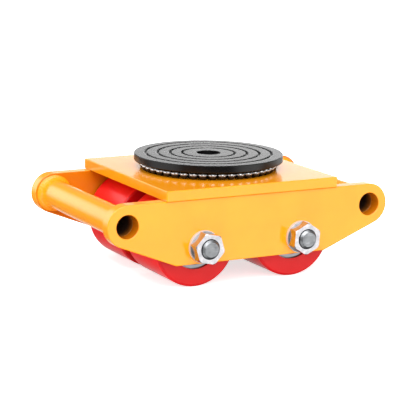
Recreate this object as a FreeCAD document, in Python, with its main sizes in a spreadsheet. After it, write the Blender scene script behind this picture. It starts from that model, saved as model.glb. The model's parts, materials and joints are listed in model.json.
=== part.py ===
"""Machine skate: a welded steel carriage on four urethane rollers, with a swivelling load pad on balls.

The origin is on the floor under the middle of the deck. +X is the way the skate rolls, +Y runs along
the axles and +Z is up. The right-hand side is at -Y and the front is at +X. Lengths are in millimetres.
"""
import FreeCAD, Part
import os
import re

import Sketcher
from FreeCAD import Placement, Rotation, Vector

# Driving sizes, by the piece that has them
SIZES = {
    # Rollers: a urethane tyre moulded on a steel core
    "roller_width": 66.6,
    "tyre_thickness": 11.0,
    "tyre_edge_round": 2.5,
    "core_step": 6.0,
    "core_lip_wall": 1.5,
    "core_lip_length": 6.0,
    "core_recess": 2.5,
    "core_shoulder": 2.5,
    # Room round the rollers
    "roller_pair_gap": 19.0,
    "roller_side_gap": 2.15,
    "roller_row_gap": 20.4,
    "roller_deck_gap": 3.0,
    # Shielded ball bearings, two in each roller
    "bearing_radius": 23.5,
    "bearing_width": 14.0,
    "bearing_recess": 1.0,
    "bearing_play": 0.12,
    "bearing_ball_spacing": 13.0,
    "bearing_ball_share": 0.294,
    "bearing_land_share": 0.8,
    "shield_seat": 0.9,
    "shield_gap": 0.4,
    "shield_depth_share": 0.45,
    "shield_thickness_share": 0.25,
    "cage_pocket_gap": 0.12,
    "cage_wall_share": 0.32,
    "cage_rail_share": 0.4,
    # Axles with their spacers, washers and nuts
    "axle_radius": 10.0,
    "axle_fit": 0.03,
    "axle_step": 1.0,
    "axle_shoulder_setback": 1.0,
    "axle_end": 3.0,
    "axle_end_chamfer": 2.0,
    "thread_pitch": 2.5,
    "thread_depth": 1.2,
    "thread_mouth_share": 0.85,
    "spacer_wall": 3.0,
    "washer_border": 1.9,
    "washer_thickness": 3.0,
    "washer_fit": 0.3,
    "nut_wall": 4.5,
    "nut_height": 11.0,
    "nut_fit": 0.05,
    "nut_countersink": 0.8,
    "nut_face_share": 1.08,
    "front_right_nut_degrees": 26.0,
    "front_left_nut_degrees": 12.0,
    "rear_right_nut_degrees": 47.5,
    "rear_left_nut_degrees": 34.0,
    # Side plates
    "plate_thickness": 12.0,
    "plate_edge_round": 0.8,
    "ear_border": 6.0,
    "foot_wall": 6.4,
    "foot_reach": 27.6,
    "foot_round": 2.0,
    # Tie tubes between the ears, which are also the carrying handles
    "tie_bore_radius": 11.0,
    "tie_wall": 3.0,
    "tie_chamfer": 0.8,
    "hand_gap": 21.8,
    "tie_weld_leg": 4.0,
    "tie_weld_hollow_share": 0.97,
    # Deck plate and the welds under it
    "deck_border": 18.5,
    "deck_overhang": 1.75,
    "deck_thickness": 10.0,
    "deck_edge_round": 0.8,
    "deck_weld_leg": 4.0,
    "deck_weld_setback": 12.0,
    # Swivel: a rubber pad on a steel plate that turns on a ring of balls
    "pad_radius": 73.0,
    "pad_thickness": 2.5,
    "pad_rim": 2.0,
    "pad_edge": 0.6,
    "pad_hub": 14.0,
    "pad_groove_pitch": 12.0,
    "pad_groove_width": 2.1,
    "pad_groove_depth": 1.6,
    "pad_groove_border": 9.0,
    "swivel_plate_thickness": 4.5,
    "race_inset": 9.5,
    "race_depth": 0.42,
    "race_play": 0.12,
    "thrust_ball_radius": 4.365,
    "thrust_ball_gap": 0.3,
    # Hollow pivot that keeps the swivel on the deck
    "pivot_bore_radius": 11.75,
    "pivot_wall": 4.0,
    "pivot_fit": 0.05,
    "pivot_flange_width": 4.0,
    "pivot_flange_thickness": 2.0,
    "pivot_lip": 2.0,
    "retainer_thickness": 1.5,
    "retainer_depth": 1.0,
    "retainer_width": 3.5,
    "retainer_gap": 6.0,
    "thrust_washer_width": 8.0,
    "thrust_washer_thickness": 2.0,
    "thrust_washer_play": 0.2,
    # How far a cutting profile runs past the solid
    "cut_overrun": 1.0,
}

# Sizes and places that follow from the driving sizes
PLACES = {
    "core_lip_radius": "bearing_radius + core_lip_wall",
    "core_radius": "core_lip_radius + core_step",
    "core_bore_radius": "bearing_radius - core_shoulder",
    "roller_radius": "core_radius + tyre_thickness",
    "roller_half": "roller_width / 2",
    "roller_y": "(roller_pair_gap + roller_width) / 2",
    "axle_x": "roller_radius + roller_row_gap / 2",
    "bearing_half": "bearing_width / 2",
    "bearing_middle": "roller_half - bearing_recess - bearing_half",
    "pitch_radius": "(axle_radius + bearing_radius) / 2",
    "bearing_ball_radius": "(bearing_radius - axle_radius) * bearing_ball_share",
    "bearing_ball_count": "floor(2 * pi * pitch_radius / bearing_ball_spacing)",
    "inner_land": "pitch_radius - bearing_ball_radius * bearing_land_share",
    "outer_land": "pitch_radius + bearing_ball_radius * bearing_land_share",
    "ball_side_room": "bearing_half - bearing_ball_radius",
    "shield_inner_face": "bearing_half - ball_side_room * shield_depth_share",
    "shield_outer_face": "shield_inner_face + ball_side_room * shield_thickness_share",
    "shield_radius": "outer_land + shield_seat",
    "cage_half": "bearing_ball_radius + ball_side_room * cage_rail_share",
    "cage_wall_half": "bearing_ball_radius * cage_wall_share",
    "inside_y": "roller_pair_gap / 2 + roller_width + roller_side_gap",
    "outside_y": "inside_y + plate_thickness",
    "thread_radius": "axle_radius - axle_step",
    "shoulder_y": "outside_y - axle_shoulder_setback",
    "nut_inner_y": "outside_y + washer_thickness",
    "nut_outer_y": "nut_inner_y + nut_height",
    "axle_end_y": "nut_outer_y + axle_end",
    "thread_count": "floor((axle_end_y - axle_end_chamfer - shoulder_y) / thread_pitch)",
    "nut_flat": "thread_radius + nut_wall",
    "nut_corner": "nut_flat / cos(30)",
    "nut_face_radius": "nut_flat * nut_face_share",
    "washer_radius": "nut_flat + washer_border",
    "spacer_bore": "axle_radius + axle_fit",
    "spacer_radius": "spacer_bore + spacer_wall",
    "plate_top": "2 * roller_radius + roller_deck_gap",
    "tie_radius": "tie_bore_radius + tie_wall",
    "ear_radius": "tie_radius + ear_border",
    "tie_x": "axle_x + roller_radius + hand_gap + tie_radius",
    "tie_z": "plate_top - ear_radius",
    "foot_x": "axle_x + foot_reach",
    "foot_z": "roller_radius - axle_radius - foot_wall",
    "deck_half_length": "pad_radius + deck_border",
    "deck_half_width": "outside_y + deck_overhang",
    "deck_top": "plate_top + deck_thickness",
    "race_radius": "pad_radius - race_inset",
    "race_z": "deck_top + thrust_ball_radius - race_depth",
    "thrust_ball_count": "floor(2 * pi * race_radius / (2 * thrust_ball_radius + thrust_ball_gap))",
    "swivel_bottom": "race_z + thrust_ball_radius - race_depth",
    "swivel_top": "swivel_bottom + swivel_plate_thickness",
    "swivel_radius": "pad_radius - pad_rim",
    "pad_top": "swivel_top + pad_thickness",
    "pad_groove_first": "pivot_bore_radius + pad_hub",
    "pad_groove_count": "floor((pad_radius - pad_groove_border - pad_groove_first) / pad_groove_pitch) + 1",
    "pivot_radius": "pivot_bore_radius + pivot_wall",
    "pivot_flange_radius": "pivot_radius + pivot_flange_width",
    "thrust_washer_top": "plate_top - thrust_washer_play",
    "retainer_top": "thrust_washer_top - thrust_washer_thickness",
    "retainer_bottom": "retainer_top - retainer_thickness",
    "retainer_bore": "pivot_radius - retainer_depth",
    "retainer_arc": "360 - 360 * retainer_gap / (2 * pi * retainer_bore)",
    "pivot_bottom": "retainer_bottom - pivot_lip",
}

# The four corners of the skate: name, way along X, way along Y
CORNERS = (
    ("front_right", 1, -1),
    ("front_left", 1, 1),
    ("rear_right", -1, -1),
    ("rear_left", -1, 1),
)
ROWS = (("front", 1), ("rear", -1))
BOTH_WAYS = (-1, 1)

# Sketcher counts a sketch's own axes down from its first line, and a line's points up from the whole line
UP_AXIS, ACROSS_AXIS = range(-2, 0)
ORIGIN = ACROSS_AXIS
WHOLE, START, END, CENTRE = range(4)

# The plane on which a profile is drawn, for each axis that it is turned about
TURNING_PLANE = {"Y_Axis": "XY_Plane", "Z_Axis": "XZ_Plane"}
HALF_TURN = Rotation(Vector(0, 0, 1), 180)
ROUNDING = 1e-4

doc = FreeCAD.newDocument("machine_skate")


def formula(text):
    """Write a formula in the names above the way an expression of the document needs it."""
    def full_name(match):
        word = match.group(0)
        if word in SIZES:
            return "Sizes." + word
        if word in PLACES:
            return "Places." + word
        return word
    return re.sub(r"[a-z_]+", full_name, text)


def write_sheet():
    """Put the driving sizes into the spreadsheet, one row each."""
    sheet = doc.addObject("Spreadsheet::Sheet", "Sizes")
    for row, (alias, value) in enumerate(SIZES.items(), start=1):
        sheet.set(f"A{row}", alias)
        sheet.set(f"B{row}", str(value))
        sheet.setAlias(f"B{row}", alias)
    doc.recompute()


def write_places():
    """Put the worked-out sizes into a variable set that follows the spreadsheet."""
    places = doc.addObject("App::VarSet", "Places")
    for name in PLACES:
        places.addProperty("App::PropertyFloat", name, "Places")
    for name, text in PLACES.items():
        places.setExpression(name, formula(text))
    doc.recompute()
    return places


def new_body(label):
    """An empty body whose label names its file."""
    body = doc.addObject("PartDesign::Body", label)
    body.Label = label
    return body


def origin_part(body, role):
    """One of a body's own origin planes or axes."""
    return next(part for part in body.Origin.OriginFeatures if part.Role == role)


def new_sketch(body, plane):
    """An empty sketch on one of the body's origin planes."""
    sketch = body.newObject("Sketcher::SketchObject", body.Label + "_sketch")
    sketch.AttachmentSupport = [(origin_part(body, plane), "")]
    sketch.MapMode = "FlatFace"
    return sketch


def fix_distance(sketch, kind, item, point, text, start_value):
    """Tie one coordinate of a sketch point to a formula."""
    if text == "0":
        axis = UP_AXIS if kind == "DistanceX" else ACROSS_AXIS
        sketch.addConstraint(Sketcher.Constraint("PointOnObject", item, point, axis))
        return
    number = sketch.addConstraint(Sketcher.Constraint(kind, ORIGIN, START, item, point, start_value))
    sketch.setExpression(f"Constraints[{number}]", formula(text))


def fix_radius(sketch, item, text, start_value):
    """Tie a circle's or arc's radius to a formula."""
    number = sketch.addConstraint(Sketcher.Constraint("Radius", item, start_value))
    sketch.setExpression(f"Constraints[{number}]", formula(text))


def draw_outline(sketch, points):
    """Draw a closed outline of straight lines whose corners are pairs of formulas."""
    count = len(points)
    first = sketch.GeometryCount
    rim = Part.Circle().discretize(Number=count + 1)
    for start, end in zip(rim, rim[1:]):
        sketch.addGeometry(Part.LineSegment(start, end))
    for index, (across, up) in enumerate(points):
        line = first + index
        before = first + (index - 1) % count
        sketch.addConstraint(Sketcher.Constraint("Coincident", before, END, line, START))
        fix_distance(sketch, "DistanceX", line, START, across, rim[index].x)
        fix_distance(sketch, "DistanceY", line, START, up, rim[index].y)


def draw_circle(sketch, across, up, radius):
    """Draw a circle from three formulas."""
    unit = Part.Circle()
    item = sketch.addGeometry(unit)
    fix_distance(sketch, "DistanceX", item, CENTRE, across, unit.Radius)
    fix_distance(sketch, "DistanceY", item, CENTRE, up, unit.Radius)
    fix_radius(sketch, item, radius, unit.Radius)


def rectangle(low_across, high_across, low_up, high_up):
    """The corners of a rectangle, as pairs of formulas."""
    return [
        (low_across, low_up),
        (high_across, low_up),
        (high_across, high_up),
        (low_across, high_up),
    ]


def turned(label, axis, outlines, arc=None):
    """A body turned about its own axis from outlines of (radius, place along the axis)."""
    body = new_body(label)
    sketch = new_sketch(body, TURNING_PLANE[axis])
    for points in outlines:
        draw_outline(sketch, points)
    turn = body.newObject("PartDesign::Revolution", label + "_turn")
    turn.Profile = sketch
    turn.ReferenceAxis = (origin_part(body, axis), [""])
    if arc:
        turn.setExpression("Angle", formula(arc))
    doc.recompute()
    return body


def padded(label, plane, draw, thickness, side):
    """A body of one thickness, from a sketch that draw fills."""
    body = new_body(label)
    sketch = new_sketch(body, plane)
    draw(sketch)
    pad = body.newObject("PartDesign::Pad", label + "_pad")
    pad.Profile = sketch
    pad.SideType = side
    pad.setExpression("Length", formula(thickness))
    doc.recompute()
    return body


def checked_cut(body, cut):
    """Make a cut the body's last feature, and see that it took something away."""
    before = body.Shape.Volume
    body.Tip = cut
    doc.recompute()
    if body.Shape.Volume >= before:
        raise RuntimeError(f"{cut.Label} cuts nothing from {body.Label}")
    return cut


def groove(body, axis, draw):
    """Turn a groove into a body, with the cutter's profile drawn by draw."""
    sketch = new_sketch(body, TURNING_PLANE[axis])
    draw(sketch)
    cut = body.newObject("PartDesign::Groove", body.Label + "_groove")
    cut.Profile = sketch
    cut.ReferenceAxis = (origin_part(body, axis), [""])
    return checked_cut(body, cut)


def round_edges(body, size, chosen):
    """Round the edges of the body's last feature that chosen accepts."""
    base = body.Tip
    names = [f"Edge{number}" for number, edge in enumerate(base.Shape.Edges, start=1) if chosen(edge)]
    if not names:
        raise RuntimeError(f"{body.Label} has no edge to round")
    rounded = body.newObject("PartDesign::Fillet", body.Label + "_edges")
    rounded.Base = (base, names)
    rounded.setExpression("Radius", formula(size))
    doc.recompute()


def is_ring(edge):
    """Whether an edge is a full circle."""
    return isinstance(edge.Curve, Part.Circle) and edge.isClosed()


def same(first, second):
    """Whether two lengths are the same, to within rounding."""
    return abs(first - second) < ROUNDING


def is_ring_of(edge, radius):
    """Whether an edge is a full circle of that radius."""
    return is_ring(edge) and same(edge.Curve.Radius, radius)


def put(body, x="0", y="0", z="0"):
    """Tie a body's place to formulas."""
    for letter, text in (("x", x), ("y", y), ("z", z)):
        body.setExpression(f"Placement.Base.{letter}", formula(text))


def signed(way, text):
    """A formula, or its negative."""
    return f"{way} * ({text})"


def at_both_ends(make):
    """The outlines that make draws, at the negative and the positive end of an axis."""
    return [make(way) for way in BOTH_WAYS]


def end_to_end(make):
    """One outline along the whole axis, from the points that make gives for each end."""
    negative_end, positive_end = at_both_ends(make)
    return positive_end + negative_end[::-1]


def attached(body, kind, plane, across, off_plane, sizes):
    """Add a plain solid or cutter to a body, placed from one of its planes, with sizes as formulas."""
    item = body.newObject(kind, body.Label + "_feature")
    item.AttachmentSupport = [(origin_part(body, plane), "")]
    item.MapMode = "FlatFace"
    item.AttachmentOffset = Placement(Vector(), HALF_TURN)
    item.setExpression("AttachmentOffset.Base.x", formula(across))
    item.setExpression("AttachmentOffset.Base.z", formula(off_plane))
    for name, text in sizes.items():
        item.setExpression(name, formula(text))
    doc.recompute()
    return item


def repeat_in_ring(body, item, count, axis):
    """Repeat the body's last feature in a full ring about an axis."""
    ring = body.newObject("PartDesign::PolarPattern", body.Label + "_ring")
    ring.Originals = [item]
    ring.Axis = (origin_part(body, axis), [""])
    ring.setExpression("Occurrences", formula(count))
    body.Tip = ring
    doc.recompute()


def draw_side_plate(sketch):
    """The side plate's outline: round ears, sloping edges down to the foot, and four holes."""
    tie_x, tie_z, ear_radius = places.tie_x, places.tie_z, places.ear_radius
    foot_x, foot_z, plate_top = places.foot_x, places.foot_z, places.plate_top
    quarter = Part.Circle().LastParameter / 4
    top = sketch.addGeometry(Part.LineSegment(Vector(-tie_x, plate_top), Vector(tie_x, plate_top)))
    foot = sketch.addGeometry(Part.LineSegment(Vector(-foot_x, foot_z), Vector(foot_x, foot_z)))
    for way, ear_top, ear_low, line_end in ((-1, START, END, START), (1, END, START, END)):
        low_angle = -quarter / 2 if way > 0 else quarter
        ear_circle = Part.Circle(Vector(way * tie_x, tie_z), HALF_TURN.Axis, ear_radius)
        ear = sketch.addGeometry(Part.ArcOfCircle(ear_circle, low_angle, low_angle + quarter * 3 / 2))
        slope = sketch.addGeometry(
            Part.LineSegment(sketch.getPoint(ear, ear_low), Vector(way * foot_x, foot_z)))
        sketch.addConstraint(Sketcher.Constraint("Tangent", ear, ear_top, top, line_end))
        sketch.addConstraint(Sketcher.Constraint("Tangent", ear, ear_low, slope, START))
        sketch.addConstraint(Sketcher.Constraint("Coincident", slope, END, foot, line_end))
        fix_distance(sketch, "DistanceX", ear, CENTRE, signed(way, "tie_x"), way * tie_x)
        fix_distance(sketch, "DistanceY", ear, CENTRE, "tie_z", tie_z)
        fix_radius(sketch, ear, "ear_radius", ear_radius)
        fix_distance(sketch, "DistanceX", foot, line_end, signed(way, "foot_x"), way * foot_x)
        fix_distance(sketch, "DistanceY", foot, line_end, "foot_z", foot_z)
        draw_circle(sketch, signed(way, "tie_x"), "tie_z", "tie_bore_radius")
        draw_circle(sketch, signed(way, "axle_x"), "roller_radius", "axle_radius + axle_fit")


def side_plate(label, way):
    """One side plate, with its outer edges eased."""
    plate = padded(label, "XZ_Plane", draw_side_plate, "plate_thickness", "One side")
    foot_level, outer_face = plate.Shape.BoundBox.ZMin, plate.Shape.BoundBox.YMin

    def is_foot_corner(edge):
        return same(edge.BoundBox.ZMax, foot_level) and not same(edge.BoundBox.YLength, 0)

    def is_outline(edge):
        return same(edge.BoundBox.YLength, 0) and not is_ring(edge)

    def is_outer_tie_hole(edge):
        return is_ring_of(edge, SIZES["tie_bore_radius"]) and same(edge.BoundBox.YMin, outer_face)

    round_edges(plate, "foot_round", is_foot_corner)
    round_edges(plate, "plate_edge_round", is_outline)
    round_edges(plate, "plate_edge_round", is_outer_tie_hole)
    if way > 0:
        plate.Placement = Placement(Vector(), HALF_TURN)
    put(plate, y=signed(way, "inside_y"))


def deck_plate():
    """The square deck, with the balls' race and the hole for the pivot."""
    def draw(sketch):
        draw_outline(sketch, rectangle(
            "-deck_half_length", "deck_half_length", "-deck_half_width", "deck_half_width"))

    deck = padded("deck_plate", "XY_Plane", draw, "deck_thickness", "One side")
    round_edges(deck, "deck_edge_round", lambda edge: True)

    def draw_cuts(sketch):
        draw_circle(sketch, "race_radius", "race_z - plate_top", "thrust_ball_radius + race_play")
        draw_outline(sketch, rectangle(
            "0", "pivot_radius + pivot_fit", "-cut_overrun", "deck_thickness + cut_overrun"))

    groove(deck, "Z_Axis", draw_cuts)
    put(deck, z="plate_top")


def deck_welds():
    """Fillet welds in the corners under the deck, one along each side plate."""
    def draw(sketch):
        for way in BOTH_WAYS:
            draw_outline(sketch, [
                (signed(way, "inside_y"), "0"),
                (signed(way, "inside_y"), "-deck_weld_leg"),
                (signed(way, "inside_y - deck_weld_leg"), "0"),
            ])

    length = "2 * (deck_half_length - deck_weld_setback)"
    welds = padded("deck_welds", "YZ_Plane", draw, length, "Symmetric")
    put(welds, z="plate_top")


def tie_tube(row, way):
    """A tie tube across one end, with its bore eased at both mouths."""
    tube = turned(f"{row}_tie_tube", "Y_Axis", [[
        ("tie_bore_radius + tie_chamfer", "-inside_y"),
        ("tie_radius", "-inside_y"),
        ("tie_radius", "inside_y"),
        ("tie_bore_radius + tie_chamfer", "inside_y"),
        ("tie_bore_radius", "inside_y - tie_chamfer"),
        ("tie_bore_radius", "-(inside_y - tie_chamfer)"),
    ]])
    put(tube, x=signed(way, "tie_x"), z="tie_z")


def tie_welds(row, way):
    """The hollow fillet welds that join a tie tube to both ears."""
    toe_y = "inside_y - tie_weld_leg"
    toe_radius = "tie_radius + tie_weld_leg"
    welds = turned(f"{row}_tie_welds", "Y_Axis", at_both_ends(lambda end: rectangle(
        "tie_radius", toe_radius, signed(end, toe_y), signed(end, "inside_y"))))

    def draw_hollows(sketch):
        for end in BOTH_WAYS:
            draw_circle(sketch, toe_radius, signed(end, toe_y), "tie_weld_leg * tie_weld_hollow_share")

    groove(welds, "Y_Axis", draw_hollows)
    put(welds, x=signed(way, "tie_x"), z="tie_z")


def axle(row, way):
    """A stepped axle, threaded at both ends."""
    def end_points(end):
        return [
            ("axle_radius", signed(end, "shoulder_y")),
            ("thread_radius", signed(end, "shoulder_y")),
            ("thread_radius", signed(end, "axle_end_y - axle_end_chamfer")),
            ("thread_radius - axle_end_chamfer", signed(end, "axle_end_y")),
            ("0", signed(end, "axle_end_y")),
        ]

    shaft = turned(f"{row}_axle", "Y_Axis", [end_to_end(end_points)])
    cut_thread(shaft, "shoulder_y + thread_pitch / 2")
    cut_thread(shaft, "-(shoulder_y + thread_pitch * (thread_count - 1 / 2))")
    put(shaft, x=signed(way, "axle_x"), z="roller_radius")


def cut_thread(shaft, middle):
    """Cut a thread's grooves, the first one round a middle, the others along +Y from it."""
    def draw(sketch):
        mouth = "thread_pitch * thread_mouth_share / 2"
        draw_outline(sketch, [
            ("thread_radius - thread_depth", middle),
            ("thread_radius", f"{middle} - {mouth}"),
            ("thread_radius + thread_depth", f"{middle} - {mouth}"),
            ("thread_radius + thread_depth", f"{middle} + {mouth}"),
            ("thread_radius", f"{middle} + {mouth}"),
        ])

    first = groove(shaft, "Y_Axis", draw)
    run = shaft.newObject("PartDesign::LinearPattern", shaft.Label + "_thread")
    run.Originals = [first]
    run.Direction = (origin_part(shaft, "Y_Axis"), [""])
    run.setExpression("Length", formula("thread_pitch * (thread_count - 1)"))
    run.setExpression("Occurrences", formula("thread_count"))
    checked_cut(shaft, run)


def axle_spacers(row, way):
    """The three spacers on an axle: one between its rollers and one at each side plate."""
    middle = "roller_pair_gap / 2 + bearing_recess"
    outer = at_both_ends(lambda end: rectangle(
        "spacer_bore", "spacer_radius",
        signed(end, "inside_y - roller_side_gap - bearing_recess"), signed(end, "inside_y")))
    spacers = turned(f"{row}_axle_spacers", "Y_Axis", outer + [
        rectangle("spacer_bore", "spacer_radius", f"-({middle})", middle)])
    put(spacers, x=signed(way, "axle_x"), z="roller_radius")


def axle_washers(row, way):
    """The flat washers under an axle's two nuts."""
    washers = turned(f"{row}_axle_washers", "Y_Axis", at_both_ends(lambda end: rectangle(
        "thread_radius + washer_fit", "washer_radius",
        signed(end, "outside_y"), signed(end, "nut_inner_y"))))
    put(washers, x=signed(way, "axle_x"), z="roller_radius")


def axle_nuts(row, way):
    """An axle's two hexagon nuts, each turned as it was tightened."""
    nuts = new_body(f"{row}_axle_nuts")
    for side, start in (("right", "nut_inner_y"), ("left", "-nut_outer_y")):
        attached(nuts, "PartDesign::AdditivePrism", "XZ_Plane", "0", start, {
            "Circumradius": "nut_corner",
            "Height": "nut_height",
            "AttachmentOffset.Rotation.Angle": f"{row}_{side}_nut_degrees",
        })
    countersink = "thread_radius + nut_countersink"
    bore = "thread_radius + nut_fit"
    outside = "nut_corner + cut_overrun"
    drop = f"({outside} - nut_face_radius) * tan(30)"

    def draw_cuts(sketch):
        for end in BOTH_WAYS:
            draw_outline(sketch, [
                ("0", signed(end, "nut_inner_y")),
                (countersink, signed(end, "nut_inner_y")),
                (bore, signed(end, f"nut_inner_y + {countersink} - ({bore})")),
                (bore, signed(end, f"nut_outer_y - ({countersink}) + {bore}")),
                (countersink, signed(end, "nut_outer_y")),
                ("0", signed(end, "nut_outer_y")),
            ])
            for face, inward in (("nut_inner_y", 1), ("nut_outer_y", -1)):
                draw_outline(sketch, [
                    ("nut_face_radius", signed(end, face)),
                    (outside, signed(end, face)),
                    (outside, signed(end, f"{face} + {inward} * {drop}")),
                ])

    groove(nuts, "Y_Axis", draw_cuts)
    put(nuts, x=signed(way, "axle_x"), z="roller_radius")


def put_at_corner(body, x_way, y_way):
    """Put a piece of a roller at the roller's middle."""
    put(body, x=signed(x_way, "axle_x"), y=signed(y_way, "roller_y"), z="roller_radius")


def roller_tyre(corner):
    """The urethane tyre, with lips over the ends of the core."""
    tyre = turned(f"{corner}_tyre", "Y_Axis", [[
        ("core_lip_radius", "-roller_half"),
        ("roller_radius", "-roller_half"),
        ("roller_radius", "roller_half"),
        ("core_lip_radius", "roller_half"),
        ("core_lip_radius", "roller_half - core_lip_length"),
        ("core_radius", "roller_half - core_lip_length"),
        ("core_radius", "-(roller_half - core_lip_length)"),
        ("core_lip_radius", "-(roller_half - core_lip_length)"),
    ]])
    round_edges(tyre, "tyre_edge_round", lambda edge: is_ring_of(edge, places.roller_radius))
    return tyre


def roller_core(corner):
    """The steel core, bored for a bearing at each end."""
    def end_points(end):
        return [
            ("core_radius", signed(end, "roller_half - core_lip_length")),
            ("core_lip_radius", signed(end, "roller_half - core_lip_length")),
            ("core_lip_radius", signed(end, "roller_half - core_recess")),
            ("bearing_radius", signed(end, "roller_half - core_recess")),
            ("bearing_radius", signed(end, "bearing_middle - bearing_half")),
            ("core_bore_radius", signed(end, "bearing_middle - bearing_half")),
        ]

    return turned(f"{corner}_core", "Y_Axis", [end_to_end(end_points)])


def along_bearing(end, text):
    """A place along the roller, counted from the middle of the bearing at one end."""
    return f"{signed(end, 'bearing_middle')} + {text}"


def draw_ball_tracks(sketch):
    """The track's round section in both of a roller's bearings."""
    track_radius = "bearing_ball_radius + bearing_play"
    for end in BOTH_WAYS:
        draw_circle(sketch, "pitch_radius", signed(end, "bearing_middle"), track_radius)


def bearing_outer_rings(corner):
    """The outer rings of a roller's two bearings, stepped for the shields."""
    rings = turned(f"{corner}_bearing_outer_rings", "Y_Axis", at_both_ends(lambda end: [
        ("bearing_radius", along_bearing(end, "-1 * bearing_half")),
        ("bearing_radius", along_bearing(end, "bearing_half")),
        ("shield_radius", along_bearing(end, "bearing_half")),
        ("shield_radius", along_bearing(end, "shield_inner_face")),
        ("outer_land", along_bearing(end, "shield_inner_face")),
        ("outer_land", along_bearing(end, "-1 * shield_inner_face")),
        ("shield_radius", along_bearing(end, "-1 * shield_inner_face")),
        ("shield_radius", along_bearing(end, "-1 * bearing_half")),
    ]))
    groove(rings, "Y_Axis", draw_ball_tracks)
    return rings


def bearing_inner_rings(corner):
    """The inner rings of a roller's two bearings, which stay still on the axle."""
    rings = turned(f"{corner}_bearing_inner_rings", "Y_Axis", at_both_ends(lambda end: rectangle(
        "spacer_bore", "inner_land",
        along_bearing(end, "-1 * bearing_half"), along_bearing(end, "bearing_half"))))
    groove(rings, "Y_Axis", draw_ball_tracks)
    return rings


def bearing_shields(corner):
    """The thin shields on both faces of a roller's two bearings."""
    outlines = []
    for end in BOTH_WAYS:
        for face in BOTH_WAYS:
            outlines.append(rectangle(
                "inner_land + shield_gap", "shield_radius",
                along_bearing(end, f"{face} * shield_inner_face"),
                along_bearing(end, f"{face} * shield_outer_face")))
    return turned(f"{corner}_bearing_shields", "Y_Axis", outlines)


def bearing_balls(corner):
    """The balls of a roller's two bearings."""
    balls = new_body(f"{corner}_bearing_balls")
    for end in BOTH_WAYS:
        ball = attached(balls, "PartDesign::AdditiveSphere", "XZ_Plane", "pitch_radius",
                        signed(end, "bearing_middle"), {"Radius": "bearing_ball_radius"})
        repeat_in_ring(balls, ball, "bearing_ball_count", "Y_Axis")
    return balls


def bearing_cages(corner):
    """The cages that space the balls of a roller's two bearings."""
    cages = turned(f"{corner}_bearing_cages", "Y_Axis", at_both_ends(lambda end: rectangle(
        "pitch_radius - cage_wall_half", "pitch_radius + cage_wall_half",
        along_bearing(end, "-1 * cage_half"), along_bearing(end, "cage_half"))))
    for end in BOTH_WAYS:
        along = signed(end, "bearing_middle")
        pocket = attached(cages, "PartDesign::SubtractiveCylinder", "YZ_Plane", along, "0", {
            "Radius": "bearing_ball_radius + cage_pocket_gap",
            "Height": "bearing_radius",
        })
        repeat_in_ring(cages, pocket, "bearing_ball_count", "Y_Axis")
    return cages


def bearing_sleeve(corner):
    """The sleeve on the axle that holds a roller's two bearings apart."""
    end = "bearing_middle - bearing_half"
    return turned(f"{corner}_bearing_sleeve", "Y_Axis", [
        rectangle("spacer_bore", "spacer_radius", f"-({end})", end)])


def rubber_pad():
    """The rubber pad, wrapped over the swivel plate's rim, with ring grooves in its top."""
    pad = turned("rubber_pad", "Z_Axis", [[
        ("pivot_bore_radius", "swivel_top"),
        ("swivel_radius", "swivel_top"),
        ("swivel_radius", "swivel_bottom"),
        ("pad_radius", "swivel_bottom"),
        ("pad_radius", "pad_top - pad_edge"),
        ("pad_radius - pad_edge", "pad_top"),
        ("pivot_bore_radius", "pad_top"),
    ]])

    def draw_grooves(sketch):
        for number in range(round(places.pad_groove_count)):
            middle = f"pad_groove_first + {number} * pad_groove_pitch"
            draw_outline(sketch, rectangle(
                f"{middle} - pad_groove_width / 2", f"{middle} + pad_groove_width / 2",
                "pad_top - pad_groove_depth", "pad_top + cut_overrun"))

    groove(pad, "Z_Axis", draw_grooves)


def swivel_plate():
    """The steel plate that turns on the balls, recessed for the pivot's flange."""
    plate = turned("swivel_plate", "Z_Axis", [[
        ("pivot_radius + pivot_fit", "swivel_bottom"),
        ("swivel_radius", "swivel_bottom"),
        ("swivel_radius", "swivel_top"),
        ("pivot_flange_radius + pivot_fit", "swivel_top"),
        ("pivot_flange_radius + pivot_fit", "swivel_top - pivot_flange_thickness"),
        ("pivot_radius + pivot_fit", "swivel_top - pivot_flange_thickness"),
    ]])
    groove(plate, "Z_Axis", lambda sketch: draw_circle(
        sketch, "race_radius", "race_z", "thrust_ball_radius + race_play"))


def pivot_tube():
    """The flanged tube that the swivel turns on, grooved for its retaining ring."""
    turned("pivot_tube", "Z_Axis", [[
        ("pivot_bore_radius", "swivel_top"),
        ("pivot_flange_radius", "swivel_top"),
        ("pivot_flange_radius", "swivel_top - pivot_flange_thickness"),
        ("pivot_radius", "swivel_top - pivot_flange_thickness"),
        ("pivot_radius", "retainer_top"),
        ("retainer_bore", "retainer_top"),
        ("retainer_bore", "retainer_bottom"),
        ("pivot_radius", "retainer_bottom"),
        ("pivot_radius", "pivot_bottom"),
        ("pivot_bore_radius", "pivot_bottom"),
    ]])


def thrust_washer():
    """The washer between the deck's underside and the retaining ring."""
    turned("thrust_washer", "Z_Axis", [rectangle(
        "pivot_radius + pivot_fit", "pivot_radius + thrust_washer_width",
        "retainer_top", "thrust_washer_top")])


def retaining_ring():
    """The open spring ring in the pivot tube's groove."""
    turned("retaining_ring", "Z_Axis", [rectangle(
        "retainer_bore", "retainer_bore + retainer_width", "retainer_bottom", "retainer_top")],
        arc="retainer_arc")


def thrust_balls():
    """The open ring of balls that carries the swivel."""
    balls = new_body("thrust_balls")
    ball = attached(balls, "PartDesign::AdditiveSphere", "XY_Plane", "race_radius", "0",
                    {"Radius": "thrust_ball_radius"})
    repeat_in_ring(balls, ball, "thrust_ball_count", "Z_Axis")
    put(balls, z="race_z")


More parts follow.
